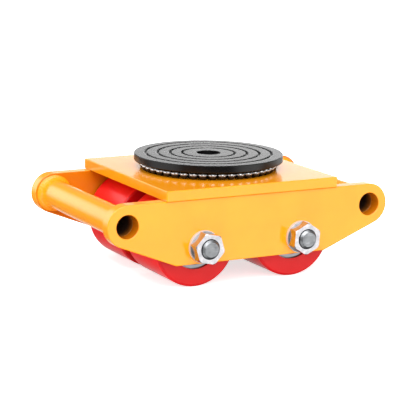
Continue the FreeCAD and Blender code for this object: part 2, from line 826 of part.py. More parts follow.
def check_document():
    """Stop if any object failed or any piece has no valid solid."""
    for item in doc.Objects:
        if "Invalid" in item.State or "Error" in item.State:
            raise RuntimeError(f"{item.Label} failed: {item.State}")
    for body in doc.findObjects("PartDesign::Body"):
        if body.Shape.isNull() or not body.Shape.isValid() or not body.Shape.Solids:
            raise RuntimeError(f"{body.Label} has no valid solid")


def write_pieces():
    """Write each piece to a file of its own."""
    os.makedirs("parts", exist_ok=True)
    for body in doc.findObjects("PartDesign::Body"):
        body.Shape.exportStep(f"parts/{body.Label}.step")


ROW_PIECES = (
    tie_tube,
    tie_welds,
    axle,
    axle_spacers,
    axle_washers,
    axle_nuts,
)
ROLLER_PIECES = (
    roller_tyre,
    roller_core,
    bearing_outer_rings,
    bearing_shields,
    bearing_inner_rings,
    bearing_sleeve,
    bearing_balls,
    bearing_cages,
)
SWIVEL_PIECES = (
    rubber_pad,
    swivel_plate,
    pivot_tube,
    thrust_washer,
    retaining_ring,
    thrust_balls,
)

write_sheet()
places = write_places()

side_plate("right_side_plate", -1)
side_plate("left_side_plate", 1)
deck_plate()
deck_welds()
for row_name, row_way in ROWS:
    for make_row_piece in ROW_PIECES:
        make_row_piece(row_name, row_way)
for corner_name, corner_x, corner_y in CORNERS:
    for make_roller_piece in ROLLER_PIECES:
        put_at_corner(make_roller_piece(corner_name), corner_x, corner_y)
for make_swivel_piece in SWIVEL_PIECES:
    make_swivel_piece()

doc.recompute()
check_document()
write_pieces()
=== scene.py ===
"""Finishes and studio for the machine skate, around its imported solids. Lengths are in metres."""
import json
import math

import bmesh
import bpy
from bpy.props import FloatProperty, FloatVectorProperty, IntProperty, PointerProperty
from mathutils import Matrix, Vector


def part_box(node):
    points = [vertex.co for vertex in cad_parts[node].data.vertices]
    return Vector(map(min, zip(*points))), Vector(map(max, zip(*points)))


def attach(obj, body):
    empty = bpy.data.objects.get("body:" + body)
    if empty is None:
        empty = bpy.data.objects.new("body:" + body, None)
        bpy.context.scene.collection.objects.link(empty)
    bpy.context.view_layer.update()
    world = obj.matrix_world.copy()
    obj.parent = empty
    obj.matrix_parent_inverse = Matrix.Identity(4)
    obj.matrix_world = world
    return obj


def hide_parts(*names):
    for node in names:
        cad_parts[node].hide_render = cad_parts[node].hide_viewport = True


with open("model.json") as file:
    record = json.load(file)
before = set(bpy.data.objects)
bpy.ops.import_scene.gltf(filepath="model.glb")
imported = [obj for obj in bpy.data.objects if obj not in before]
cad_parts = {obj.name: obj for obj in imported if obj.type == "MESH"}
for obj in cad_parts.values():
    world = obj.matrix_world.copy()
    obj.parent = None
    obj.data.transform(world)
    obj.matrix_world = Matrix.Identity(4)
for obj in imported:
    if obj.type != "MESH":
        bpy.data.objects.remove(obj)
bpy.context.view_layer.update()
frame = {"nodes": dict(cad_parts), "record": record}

bl_info = {
    "name": "Machine skate",
    "version": (1, 0, 0),
    "blender": (4, 5, 0),
    "location": "3D View > Sidebar > Skate",
    "description": "Finishes a machine skate's pieces and sets up the studio round it",
    "category": "Object",
}

MOUNTS = {mount["name"]: mount for mount in frame["record"]["mounts"]}
ROWS = ("front", "rear")
CORNERS = ("front_right", "front_left", "rear_right", "rear_left")
BOTH_WAYS = (-1, 1)
SWIVEL_AXIS = (0.0, 0.0)
TENTH = 0.0001  # a tenth of a millimetre

BEAD_STEPS = 9  # steps over a weld's hollow face
BEAD_ROWS = 8  # rows of points in one weld ripple
BEAD_BOW = 1.2  # four times the bow of a weld ripple, in ripple pitches
BEAD_END = 0.2  # square of a weld's size at its ends, where its middle is 1
ROUND_STEPS = 4  # steps in a round
LEAD_SHARE = 0.4  # flat at each end of a round, as a share of its radius
PAD_SEGMENTS = 192
FLOOR_SEGMENTS = 96
SHARP_ANGLE = math.radians(40.0)

PICTURE_PIXELS = 416
SENSOR_WIDTH = 36.0
CLIP_RANGE = (0.05, 60.0)
HORIZON = 0.1  # sine of the height over which the room's light fades in
# Soft boxes: azimuth from the skate's right side, elevation, half width and half the width of the
# soft rim, all in degrees, and how much they lie flat
SOFT_BOXES = {
    "front_box": (-4.0, 45.0, 32.0, 10.0, 1.0),
    "left_box": (-72.0, 52.0, 28.0, 18.0, 1.0),
    "rear_box": (-150.0, 21.0, 15.0, 14.0, 0.85),
    "sweep": (140.0, 2.0, 26.0, 12.0, 4.0),
    "table": (-70.0, -50.0, 28.0, 14.0, 1.0),
    "card": (40.0, -12.0, 22.0, 8.0, 2.0),
    "left_card": (-100.0, -6.0, 26.0, 12.0, 2.0),
    "low_front": (-24.0, 12.0, 12.0, 6.0, 1.5),
    "back_card": (150.0, -16.0, 24.0, 8.0, 1.5),
    "end_card": (95.0, -12.0, 22.0, 8.0, 1.5),
}


def colour_of(name, description, default):
    """A colour that a user can change."""
    return FloatVectorProperty(
        name=name, description=description, default=default, size=3, min=0.0, max=1.0,
        subtype="COLOR")


def length_of(name, description, default):
    """A length that a user can change."""
    return FloatProperty(
        name=name, description=description, default=default, min=0.0, unit="LENGTH", precision=5)


def angle_of(name, description, degrees):
    """An angle that a user can change."""
    return FloatProperty(
        name=name, description=description, default=math.radians(degrees), subtype="ANGLE")


def strength_of(name, description, default):
    """A brightness that a user can change, where 1 shows as white."""
    return FloatProperty(name=name, description=description, default=default, min=0.0)


class SkateColours(bpy.types.PropertyGroup):
    """The colours of the skate's finishes."""
    paint: colour_of("Paint", "Yellow powder coat", (0.94, 0.332, 0.006))
    paint_shade: colour_of(
        "Paint shade", "Powder coat where it lies thicker", (0.91, 0.31, 0.005))
    # Lighter yellow along the edges: thin coat, and a painted highlight on every edge.
    paint_thin_edge_highlight: colour_of("Paint edge", "Powder coat drawn thin over an edge", (0.97, 0.40, 0.02))
    # Deeper orange painted as shade on the plates' inner faces and in their tie holes.
    paint_inside_shade: colour_of(
        "Paint inside", "Powder coat inside the plates and in their holes", (0.62, 0.175, 0.003))
    # Near-black bore colour: bare scale, darkened further as painted shade deep in the tubes.
    bare_bore_shade: colour_of(
        "Bare bore", "Brown-black scale inside the tie tubes", (0.030, 0.010, 0.004))
    urethane: colour_of("Urethane", "Red of the roller tyres", (0.64, 0.005, 0.007))
    # Lighter red on the treads: painted light on the tops of the rollers.
    urethane_tread_lit: colour_of(
        "Urethane tread", "Lighter red of the turned treads", (0.90, 0.010, 0.012))
    urethane_shade: colour_of(
        "Urethane shade", "Deeper red in the flow marks of the tyres", (0.58, 0.004, 0.006))
    rubber: colour_of("Rubber", "Black of the load pad", (0.0016, 0.0016, 0.0018))
    rubber_bloom: colour_of("Rubber bloom", "Grey bloom on the load pad", (0.0035, 0.0035, 0.0037))
    zinc: colour_of("Zinc", "Bright zinc plate", (0.56, 0.54, 0.55))
    zinc_shade: colour_of("Zinc shade", "Zinc plate where it is duller", (0.42, 0.42, 0.44))
    # Pale rims on the washers are a painted highlight.
    zinc_rim_highlight: colour_of(
        "Rubbed zinc", "Zinc plate rubbed pale along the washers' rims", (0.68, 0.67, 0.68))
    steel: colour_of("Steel", "Turned steel", (0.34, 0.35, 0.36))
    steel_shade: colour_of("Steel shade", "Turned steel in its duller lines", (0.14, 0.145, 0.155))
    oxide: colour_of(
        "Black oxide", "Blackened steel of the swivel plate and pivot", (0.004, 0.004, 0.0045))
    oxide_rubbed: colour_of(
        "Rubbed oxide", "Blackened steel where it is rubbed", (0.035, 0.034, 0.034))
    bearing: colour_of("Bearing steel", "Polished balls and rings", (0.78, 0.785, 0.80))
    bearing_shade: colour_of(
        "Bearing shade", "Smears on the polished steel", (0.66, 0.665, 0.68))
    # The grease colour also serves as painted shade on the thrust balls and under them.
    grease: colour_of("Grease", "Black grease round the thrust balls", (0.010, 0.008, 0.006))
    brass: colour_of("Brass", "Bearing cages", (0.70, 0.50, 0.20))
    brass_shade: colour_of("Brass shade", "Dulled brass", (0.50, 0.34, 0.13))
    spring: colour_of("Spring steel", "Oiled black spring steel", (0.030, 0.030, 0.032))
    spring_shade: colour_of("Spring shade", "Rubbed spring steel", (0.075, 0.075, 0.078))
    floor: colour_of("Floor", "Pale studio floor", (0.90, 0.90, 0.90))


class SkateSizes(bpy.types.PropertyGroup):
    """The sizes of the fine shapes that are modelled here."""
    pad_rim: length_of("Pad rim", "Round at the top edge of the load pad", 0.0005)
    pad_groove_round: length_of("Groove round", "Round in the corners of each ring groove", 0.0005)
    pad_groove_first: length_of("First groove", "Radius of the innermost ring groove", 0.02575)
    pad_groove_pitch: length_of("Groove pitch", "Step from one ring groove to the next", 0.012)
    pad_groove_width: length_of("Groove width", "Width of a ring groove", 0.0026)
    pad_groove_depth: length_of("Groove depth", "Depth of a ring groove", 0.0016)
    pad_grooves: IntProperty(
        name="Grooves", description="How many ring grooves the pad has", default=4, min=0)
    weld_leg: length_of("Weld leg", "Leg of the fillet welds", 0.004)
    weld_hollow: FloatProperty(
        name="Weld hollow", description="Radius of a weld's hollow face, as a share of its leg",
        default=0.95, min=0.0)
    weld_ripple: length_of("Weld ripple", "Height of the ripples in a weld", 0.00018)
    weld_ripple_pitch: length_of("Ripple pitch", "Step from one weld ripple to the next", 0.0026)


class SkateStudio(bpy.types.PropertyGroup):
    """The camera, the lights and the floor."""
    azimuth: angle_of("Azimuth", "Way round the skate, from its right side", -28.42)
    elevation: angle_of("Elevation", "Height of the camera above the horizon", 11.96)
    roll: angle_of("Roll", "Turn of the camera about its own axis", 1.07)
    distance: length_of("Distance", "From the camera to its target", 1.618)
    target: FloatVectorProperty(
        name="Target", description="Where the camera looks", default=(0.00065, 0.0, 0.0562), size=3,
        unit="LENGTH")
    focal_pixels: FloatProperty(
        name="Focal length", description="Focal length of the picture in pixels", default=1639.8,
        min=1.0)
    floor_radius: length_of("Floor", "Radius of the floor", 14.0)
    floor_glow: strength_of("Floor glow", "Light that lifts the shadow on the floor", 0.75)
    backdrop: strength_of("Backdrop", "Brightness of the white backdrop", 1.0)
    room: strength_of("Room", "Even light from all round above the floor", 0.28)
    low_room: strength_of("Low room", "What polished faces see below the horizon", 0.12)
    front_box: strength_of("Front box", "Soft box above the camera", 3.25)
    left_box: strength_of("Left box", "Soft box on the left", 1.95)
    rear_box: strength_of("Rear box", "Soft box behind on the left", 2.2)
    sweep: strength_of("Sweep", "Bright foot of the backdrop behind on the right", 2.9)
    table: strength_of("Table", "What polished faces see of the table in front", 1.0)
    card: strength_of("Card", "White card low on the right", 1.8)
    left_card: strength_of("Left card", "White card low on the left", 1.3)
    low_front: strength_of("Low front", "Bright studio behind the camera", 1.0)
    back_card: strength_of("Back card", "White card low behind", 0.7)
    end_card: strength_of("End card", "White card low in front of the skate's front end", 1.0)


class Nodes:
    """A node tree while it is put together."""

    def __init__(self, owner):
        owner.use_nodes = True
        self.nodes = owner.node_tree.nodes
        self.links = owner.node_tree.links

    def add(self, kind, inputs=None, **settings):
        """Add a node, with its settings and its inputs."""
        node = self.nodes.new(kind)
        for name, value in settings.items():
            setattr(node, name, value)
        for name, value in (inputs or {}).items():
            self.feed(node.inputs[name], value)
        return node

    def feed(self, socket, value):
        """Link an input to another node, or give it a fixed value."""
        if isinstance(value, bpy.types.NodeSocket):
            self.links.new(value, socket)
        elif hasattr(value, "__len__") and socket.type == "RGBA":
            socket.default_value = (*value, 1.0)
        else:
            socket.default_value = value

    def math(self, operation, *values):
        """One sum of numbers or sockets."""
        node = self.add("ShaderNodeMath", dict(enumerate(values)), operation=operation)
        return node.outputs["Value"]

    def vector(self, operation, *values):
        """One sum of vectors, as a node."""
        return self.add("ShaderNodeVectorMath", dict(enumerate(values)), operation=operation)

    def between(self, share, low, high, start=0.0, end=1.0, curve="LINEAR"):
        """Turn a share that runs from start to end into a number from low to high."""
        inputs = {"Value": share, "From Min": start, "From Max": end, "To Min": low, "To Max": high}
        return self.add("ShaderNodeMapRange", inputs, interpolation_type=curve).outputs["Result"]

    def mix(self, share, first, second):
        """A number between two, by a share."""
        return self.add("ShaderNodeMix", {0: share, 2: first, 3: second}).outputs[0]


class Finish(Nodes):
    """A node material while it is put together."""

    def __init__(self, name):
        self.material = bpy.data.materials.new(name)
        super().__init__(self.material)
        self.shader = self.nodes["Principled BSDF"]
        self.place = self.add("ShaderNodeTexCoord").outputs["Object"]

    def set(self, **inputs):
        """Feed the shader's inputs, named with underscores for spaces."""
        for name, value in inputs.items():
            self.feed(self.shader.inputs[name.replace("_", " ")], value)

    def noise(self, grain, detail=2.0, stretch=None):
        """Cloudy noise from 0 to 1, with grains of one size, drawn out along an axis by stretch."""
        place = self.place
        if stretch:
            drawn_out = {"Vector": place, "Scale": stretch}
            place = self.add("ShaderNodeMapping", drawn_out).outputs["Vector"]
        inputs = {"Vector": place, "Scale": 1.0 / grain, "Detail": detail}
        return self.add("ShaderNodeTexNoise", inputs).outputs["Fac"]

    def patches(self, grain, detail, start=0.35, end=0.65, stretch=None):
        """Noise drawn apart into patches of 1 on a ground of 0."""
        return self.between(self.noise(grain, detail, stretch), 0.0, 1.0, start=start, end=end)

    def lines(self, along, grain, detail=3.0):
        """Fine lines square to one measure, of one width."""
        inputs = {"W": along, "Scale": 1.0 / grain, "Detail": detail}
        return self.add("ShaderNodeTexNoise", inputs, noise_dimensions="1D").outputs["Fac"]

    def axes(self):
        """The three coordinates on the piece."""
        split = self.add("ShaderNodeSeparateXYZ", {"Vector": self.place})
        return split.outputs["X"], split.outputs["Y"], split.outputs["Z"]

    def radius_about(self, first, second, middle):
        """Distance from an axis at middle, measured on two coordinates, alike at both ends."""
        across = self.math("SUBTRACT", self.math("ABSOLUTE", first), middle[0])
        up = self.math("SUBTRACT", second, middle[1])
        squares = [self.math("POWER", part, 2.0) for part in (across, up)]
        return self.math("SQRT", self.math("ADD", *squares))

    def blend(self, share, first, second):
        """A colour between two, by a share."""
        inputs = {0: share, 6: first, 7: second}
        return self.add("ShaderNodeMix", inputs, data_type="RGBA").outputs[2]

    def edges(self, width):
        """1 along the piece's edges, 0 on its faces."""
        rounded_off = self.add("ShaderNodeBevel", {"Radius": width}, samples=4).outputs["Normal"]
        true = self.add("ShaderNodeNewGeometry").outputs["Normal"]
        alike = self.vector("DOT_PRODUCT", rounded_off, true).outputs["Value"]
        return self.between(alike, 1.0, 0.0, start=0.78, end=0.99)

    def bump(self, height, depth, below=None):
        """Relief of one depth, on top of another relief."""
        inputs = {"Height": height, "Distance": depth, "Strength": 1.0}
        if below is not None:
            inputs["Normal"] = below
        return self.add("ShaderNodeBump", inputs).outputs["Normal"]


def axle_middle():
    """How far the axles stand from the middle of the skate, and how high."""
    low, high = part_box("front_right_tyre")
    return (low.x + high.x) / 2, (low.z + high.z) / 2


def radius_of(node):
    """The radius of a node that is round seen from the side."""
    low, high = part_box(node)
    return (high.z - low.z) / 2


def tie_bore():
    """How far the tie bores stand from the middle of the skate and how high, and their radius."""
    bore = MOUNTS["front_tie_bore"]
    return (bore["pos_m"][0], bore["pos_m"][2]), bore["dims"]["r_mm"] / 1000


def coat_clouds(coat, colours):
    """The powder coat's yellow, faintly clouded."""
    return coat.blend(coat.patches(0.030, detail=3.0), colours.paint, colours.paint_shade)


def coat_gloss(coat):
    """The powder coat's gloss and orange peel; gives its roughness."""
    peel = coat.bump(coat.noise(0.0024), depth=0.000010)
    coat.set(
        Coat_Weight=0.1,
        Coat_Roughness=0.05,
        Normal=coat.bump(coat.noise(0.0006, detail=1.0), depth=0.0000012, below=peel),
    )
    return coat.between(coat.noise(0.0035), 0.13, 0.19)


def coat_on_plate(coat, colours):
    """The powder coat's yellow on a plate, drawn thin over the edges and painted lighter there as a
    painted highlight.
    """
    uneven = coat.between(coat.noise(0.006), 0.45, 1.0)
    # Painted highlight: every edge takes the lighter yellow, along with the thin coat there.
    edge = coat.math("MULTIPLY", coat.edges(width=0.0011), uneven)
    return coat.blend(edge, coat_clouds(coat, colours), colours.paint_thin_edge_highlight)


def powder_coat(colours):
    """Glossy powder coat on the side plates, with painted shade: a deeper orange on their inner
    faces and in the tie holes.
    """
    coat = Finish("yellow_powder_coat")
    x, y, z = coat.axes()
    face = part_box("left_side_plate")[0].y
    # Painted shade: the inner faces and the tie-hole walls take the deeper orange.
    inner = coat.between(
        coat.math("ABSOLUTE", y), 1.0, 0.0, start=face + TENTH, end=face + 4 * TENTH)
    middle, wall = tie_bore()
    hole_shade = coat.between(
        coat.radius_about(x, z, middle), 1.0, 0.0, start=wall + TENTH, end=wall + 6 * TENTH)
    inside = coat.math("MAXIMUM", inner, hole_shade)
    coat.set(
        Base_Color=coat.blend(inside, coat_on_plate(coat, colours), colours.paint_inside_shade),
        Roughness=coat_gloss(coat),
    )
    return coat.material


def deck_coat(colours):
    """The same coat on the deck, with black in the balls' race, for grease and as painted shade
    under the balls and the pad.
    """
    coat = Finish("powder_coated_deck")
    x, y, _ = coat.axes()
    ball = radius_of("thrust_balls")
    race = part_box("thrust_balls")[1].x - ball
    off_race = coat.math("SUBTRACT", coat.radius_about(x, y, SWIVEL_AXIS), race)
    uneven = coat.between(coat.noise(0.004, detail=3.0), -8 * TENTH, 8 * TENTH)
    ragged = coat.math("ADD", coat.math("ABSOLUTE", off_race), uneven)
    # Black ring under the balls: race grease, and painted shade from the pad above.
    grease = coat.between(
        ragged, 1.0, 0.0, start=ball * 0.25, end=ball * 0.40, curve="SMOOTHSTEP")
    coat.set(
        Base_Color=coat.blend(grease, coat_on_plate(coat, colours), colours.grease),
        Roughness=coat_gloss(coat),
    )
    return coat.material


def tube_coat(colours):
    """The same coat on the tie tubes, whose bores are left bare and painted dark as shade, with
    overspray and painted light fading in from the mouths.
    """
    coat = Finish("powder_coated_tube")
    x, y, z = coat.axes()
    middle, wall = tie_bore()
    outside = coat.between(
        coat.radius_about(x, z, middle), 0.0, 1.0, start=wall + 0.5 * TENTH, end=wall + 2.5 * TENTH)
    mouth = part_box("front_tie_tube")[1].y
    # Lighter towards each mouth over 12 mm: overspray, and painted light falling into the bore.
    overspray_and_mouth_light = coat.between(
        coat.math("ABSOLUTE", y), 0.0, 0.35, start=mouth - 0.012, end=mouth, curve="SMOOTHSTEP")
    painted = coat.math("MAXIMUM", outside, overspray_and_mouth_light)
    scale = coat.between(coat.noise(0.002, detail=4.0), 0.5, 1.0)
    coat.set(
        Base_Color=coat.blend(painted, colours.bare_bore_shade, coat_clouds(coat, colours)),
        Roughness=coat.mix(painted, scale, coat_gloss(coat)),
    )
    return coat.material


def weld_coat(colours):
    """The same coat over the weld beads."""
    coat = Finish("powder_coated_weld")
    coat.set(Base_Color=coat_clouds(coat, colours), Roughness=coat_gloss(coat))
    return coat.material


def tyre_red(tyre, colours, radius):
    """The tyre's red with flow marks, deeper by the bearing and lighter on the tread as painted
    light on the rollers' tops.
    """
    bearing, outside = radius_of("front_right_bearing_outer_rings"), radius_of("front_right_tyre")
    flow = tyre.patches(0.018, detail=4.0, start=0.3, end=0.7)
    lip = tyre.between(radius, 0.5, 0.0, start=bearing + 0.002, end=bearing + 0.005)
    face = tyre.blend(tyre.math("MAXIMUM", flow, lip), colours.urethane, colours.urethane_shade)
    tread_shade = [0.94 * part for part in colours.urethane_tread_lit]
    # Painted light: the tread takes a lighter red than the faces.
    turned = tyre.blend(flow, colours.urethane_tread_lit, tread_shade)
    tread = tyre.between(radius, 0.0, 1.0, start=outside - 6 * TENTH, end=outside - TENTH)
    return tyre.blend(tread, face, turned)


def urethane(colours):
    """Cast urethane, turned on the tread and moulded on the faces."""
    tyre = Finish("red_cast_urethane")
    x, y, z = tyre.axes()
    radius = tyre.radius_about(x, z, axle_middle())
    turning = tyre.bump(tyre.lines(y, grain=0.0006), depth=0.000012)
    tyre.set(
        Base_Color=tyre_red(tyre, colours, radius),
        Roughness=tyre.between(tyre.noise(0.003, detail=3.0), 0.27, 0.40),
        Specular_IOR_Level=0.3,
        Normal=tyre.bump(tyre.lines(radius, grain=0.0007), depth=0.000012, below=turning),
    )
    return tyre.material


def zinc_look(zinc, colours, smoothest, roughest):
    """Zinc plate with tool marks; gives its colour, with a faint spangle."""
    marks = zinc.noise(0.0030, detail=4.0)
    zinc.set(
        Metallic=1.0,
        Roughness=zinc.between(marks, smoothest, roughest, start=0.3, end=0.7),
        Normal=zinc.bump(zinc.noise(0.0007, detail=3.0), depth=0.000012),
    )
    return zinc.blend(zinc.patches(0.0045, detail=4.0), colours.zinc, colours.zinc_shade)


def bright_zinc(colours):
    """Bright zinc plate on the nuts."""
    zinc = Finish("bright_zinc")
    zinc.set(Base_Color=zinc_look(zinc, colours, smoothest=0.16, roughest=0.28))
    return zinc.material


def satin_zinc(colours):
    """Satin zinc plate on the washers, with a pale painted highlight along their rims."""
    zinc = Finish("satin_zinc")
    x, _, z = zinc.axes()
    outside = radius_of("front_axle_washers")
    radius = zinc.radius_about(x, z, axle_middle())
    # Painted highlight: a pale, less metallic band along each washer's rim.
    rim = zinc.between(radius, 0.0, 1.0, start=outside - 7 * TENTH, end=outside - 3 * TENTH)
    plated = zinc_look(zinc, colours, smoothest=0.40, roughest=0.52)
    zinc.set(
        Base_Color=zinc.blend(rim, plated, colours.zinc_rim_highlight),
        Metallic=zinc.between(rim, 1.0, 0.5),
    )
    return zinc.material


def turned_steel(colours):
    """Steel turned about an axle, with rings on its faces and saw lines across its ends."""
    steel = Finish("turned_steel")
    x, _, z = steel.axes()
    saw = steel.patches(0.0011, detail=3.0, start=0.3, end=0.7, stretch=(0.10, 1.0, 1.0))
    sawn = steel.blend(saw, colours.steel_shade, colours.steel)
    radius = steel.radius_about(x, z, axle_middle())
    rings = steel.bump(steel.lines(radius, grain=0.0005), depth=0.000008)
    steel.set(
        Base_Color=steel.blend(steel.patches(0.006, detail=3.0), sawn, colours.steel),
        Metallic=1.0,
        Roughness=steel.between(saw, 0.26, 0.44),
        Normal=steel.bump(saw, depth=0.000014, below=rings),
    )
    return steel.material


def swivel_steel(colours):
    """Steel turned about the swivel's own axis."""
    steel = Finish("turned_swivel_steel")
    x, y, _ = steel.axes()
    rings = steel.lines(steel.radius_about(x, y, SWIVEL_AXIS), grain=0.0006)
    oil = steel.patches(0.008, detail=3.0)
    steel.set(
        Base_Color=steel.blend(oil, colours.steel, colours.steel_shade),
        Metallic=1.0,
        Roughness=steel.between(rings, 0.28, 0.46),
        Normal=steel.bump(rings, depth=0.000010),
    )
    return steel.material


def black_oxide(colours):
    """Blackened steel, turned about the swivel's axis and rubbed along its edges."""
    oxide = Finish("black_oxide_steel")
    x, y, _ = oxide.axes()
    rings = oxide.lines(oxide.radius_about(x, y, SWIVEL_AXIS), grain=0.0006)
    cloud = oxide.between(oxide.noise(0.006, detail=3.0), 0.0, 0.5, start=0.4, end=0.7)
    rubbed = oxide.math("MAXIMUM", cloud, oxide.edges(width=0.0004))
    oxide.set(
        Base_Color=oxide.blend(rubbed, colours.oxide, colours.oxide_rubbed),
        Metallic=0.3,
        Roughness=oxide.between(rings, 0.34, 0.50),
        Specular_IOR_Level=0.25,
        Normal=oxide.bump(rings, depth=0.000008),
    )
    return oxide.material


def bearing_steel(colours):
    """Polished bearing steel with faint smears of grease."""
    steel = Finish("polished_bearing_steel")
    smear = steel.patches(0.004, detail=3.0, start=0.4)
    steel.set(
        Base_Color=steel.blend(smear, colours.bearing, colours.bearing_shade),
        Metallic=1.0,
        Roughness=steel.between(smear, 0.06, 0.16),
        Normal=steel.bump(steel.noise(0.0012), depth=0.000002),
    )
    return steel.material


def balls_greased_and_shaded(colours):
    """Polished balls painted black above and below a thin band, for grease from the races and as
    painted shade; the band keeps the glint.
    """
    steel = Finish("greased_and_shaded_ball_steel")
    _, _, z = steel.axes()
    low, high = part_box("thrust_balls")
    middle = (low.z + high.z) / 2
    uneven = steel.between(steel.noise(0.003, detail=3.0), -3 * TENTH, 3 * TENTH)
    line = steel.math("ADD", z, uneven)
    # Painted shade: black above and below, leaving a clean band just over the middle.
    above = steel.between(line, 0.0, 1.0, start=middle + 9 * TENTH, end=middle + 15 * TENTH)
    below = steel.between(line, 1.0, 0.0, start=middle - 4 * TENTH, end=middle + TENTH)
    grease = steel.math("MAXIMUM", above, below)
    steel.set(
        Base_Color=steel.blend(grease, colours.bearing, colours.grease),
        Metallic=steel.between(grease, 1.0, 0.0),
        Roughness=steel.between(grease, 0.08, 0.30),
        Normal=steel.bump(steel.noise(0.0012), depth=0.000002),
    )
    return steel.material


def shield_steel(colours):
    """Pressed steel of the bearing shields, finely brushed round the axle."""
    steel = Finish("pressed_shield_steel")
    x, _, z = steel.axes()
    rings = steel.lines(steel.radius_about(x, z, axle_middle()), grain=0.0004)
    steel.set(
        Base_Color=steel.blend(rings, colours.steel_shade, colours.zinc_shade),
        Metallic=1.0,
        Roughness=steel.between(rings, 0.24, 0.38),
        Normal=steel.bump(rings, depth=0.000006),
    )
    return steel.material


def cage_brass(colours):
    """Machined brass of the bearing cages."""
    brass = Finish("machined_brass")
    dull = brass.patches(0.003, detail=4.0)
    brass.set(
        Base_Color=brass.blend(dull, colours.brass, colours.brass_shade),
        Metallic=1.0,
        Roughness=brass.between(dull, 0.22, 0.42),
        Normal=brass.bump(brass.noise(0.0008), depth=0.000006),
    )
    return brass.material


def spring_steel(colours):
    """Black-oiled spring steel, rubbed bright at its edges."""
    spring = Finish("oiled_spring_steel")
    worn = spring.between(spring.noise(0.004, detail=3.0), 0.0, 0.4)
    rubbed = spring.math("MAXIMUM", spring.edges(width=0.0004), worn)
    spring.set(
        Base_Color=spring.blend(rubbed, colours.spring, colours.spring_shade),
        Metallic=0.8,
        Roughness=spring.between(spring.noise(0.002), 0.30, 0.45),
        Normal=spring.bump(spring.noise(0.0010), depth=0.000006),
    )
    return spring.material


def moulded_rubber(colours):
    """Black moulded rubber with a fine grain and a faint bloom."""
    rubber = Finish("moulded_rubber")
    bloom = rubber.patches(0.009, detail=4.0, start=0.4, end=0.7)
    rubber.set(
        Base_Color=rubber.blend(bloom, colours.rubber, colours.rubber_bloom),
        Roughness=rubber.between(rubber.noise(0.0012, detail=3.0), 0.22, 0.30),
        Specular_IOR_Level=0.35,
        Normal=rubber.bump(rubber.noise(0.0005), depth=0.000003),
    )
    return rubber.material


def named(places, *pieces):
    """The names of the nodes for like pieces at several places."""
    return [f"{place}_{piece}" for place in places for piece in pieces]


def dress(material, *nodes):
    """Give carried-over solids their finish."""
    for name in nodes:
        solid = frame["nodes"][name]
        if not solid.material_slots:
            solid.data.materials.append(material)
        for slot in solid.material_slots:
            slot.material = material


def skin_faces(rows, ring, first):
    """Faces over rows of points numbered from first, joined in a ring or capped at both ends."""
    count = len(rows[0])
    faces = []
    for index in range(len(rows) if ring else len(rows) - 1):
        here, there = first + index * count, first + (index + 1) % len(rows) * count
        for step in range(count):
            after = (step + 1) % count
            faces.append((here + step, here + after, there + after, there + step))
    if not ring:
        last = first + (len(rows) - 1) * count
        faces.append(tuple(range(first, first + count))[::-1])
        faces.append(tuple(range(last, last + count)))
    return faces


def skin(name, shells, ring, material):
    """A piece of closed shells, each from rows of points whose every row is a closed loop."""
    points, faces = [], []
    for rows in shells:
        faces += skin_faces(rows, ring, len(points))
        points += [point for row in rows for point in row]
    mesh = bpy.data.meshes.new(name)
    mesh.from_pydata(points, [], faces)
    mesh.validate()
    shell = bmesh.new()
    shell.from_mesh(mesh)
    bmesh.ops.recalc_face_normals(shell, faces=shell.faces)
    shell.to_mesh(mesh)
    shell.free()
    mesh.polygons.foreach_set("use_smooth", [True] * len(mesh.polygons))
    mesh.set_sharp_from_angle(angle=SHARP_ANGLE)
    mesh.materials.append(material)
    piece = bpy.data.objects.new(name, mesh)
    bpy.context.scene.collection.objects.link(piece)
    return piece


def stand_for(piece, node, body):
    """Let a piece stand for a carried-over solid, on that solid's body, with the solid hidden."""
    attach(piece, body)
    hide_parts(node)


def rounded(corners):
    """A closed outline from corners of (across, up, round), with a flat at each end of a round."""
    outline = []
    for index, (across, up, size) in enumerate(corners):
        here = Vector((across, up))
        if size == 0.0:
            outline.append(here)
            continue
        before = (Vector(corners[index - 1][:2]) - here).normalized()
        after = (Vector(corners[(index + 1) % len(corners)][:2]) - here).normalized()
        half = before.angle(after) / 2
        middle = here + (before + after).normalized() * (size / math.sin(half))
        setback = size / math.tan(half)
        lead = size * LEAD_SHARE
        start = here + before * setback - middle
        end = here + after * setback - middle
        outline.append(here + before * (setback + lead))
        for step in range(ROUND_STEPS + 1):
            outline.append(middle + start.slerp(end, step / ROUND_STEPS).normalized() * size)
        outline.append(here + after * (setback + lead))
    return outline


def rows_about_z(outline, segments):
    """Rows of an outline of (radius, height), turned about the upright axis."""
    rows = []
    for number in range(segments):
        turn = 2 * math.pi * number / segments
        rows.append([(r * math.cos(turn), r * math.sin(turn), z) for r, z in outline])
    return rows


def bead_section(sizes, run, size):
    """A fillet weld's section at a place along its run, as lengths along its two legs."""
    leg = sizes.weld_leg * size
    hollow = leg * sizes.weld_hollow
    section = [(0.0, 0.0), (leg, 0.0)]
    for step in range(1, BEAD_STEPS):
        share = step / BEAD_STEPS
        turn = math.pi / 2 * share
        crescent = run / sizes.weld_ripple_pitch - BEAD_BOW * share * (1.0 - share)
        wave = 0.5 + 0.5 * math.cos(2 * math.pi * crescent)
        reach = hollow - sizes.weld_ripple * size * wave * math.sin(math.pi * share)
        section.append((leg - reach * math.sin(turn), leg - reach * math.cos(turn)))
    section.append((0.0, leg))
    return section


def ring_bead(sizes, middle, radius, face, way):
    """Rows of a weld round a tube that stands square on a face, with the face on its way side."""
    ripples = round(2 * math.pi * radius / sizes.weld_ripple_pitch)
    rows = []
    for number in range(ripples * BEAD_ROWS):
        run = number / BEAD_ROWS * sizes.weld_ripple_pitch
        turn = 2 * math.pi * number / (ripples * BEAD_ROWS)
        rows.append([(
            middle[0] + (radius + out) * math.cos(turn),
            face - way * along,
            middle[1] + (radius + out) * math.sin(turn),
        ) for along, out in bead_section(sizes, run, 1.0)])
    return rows


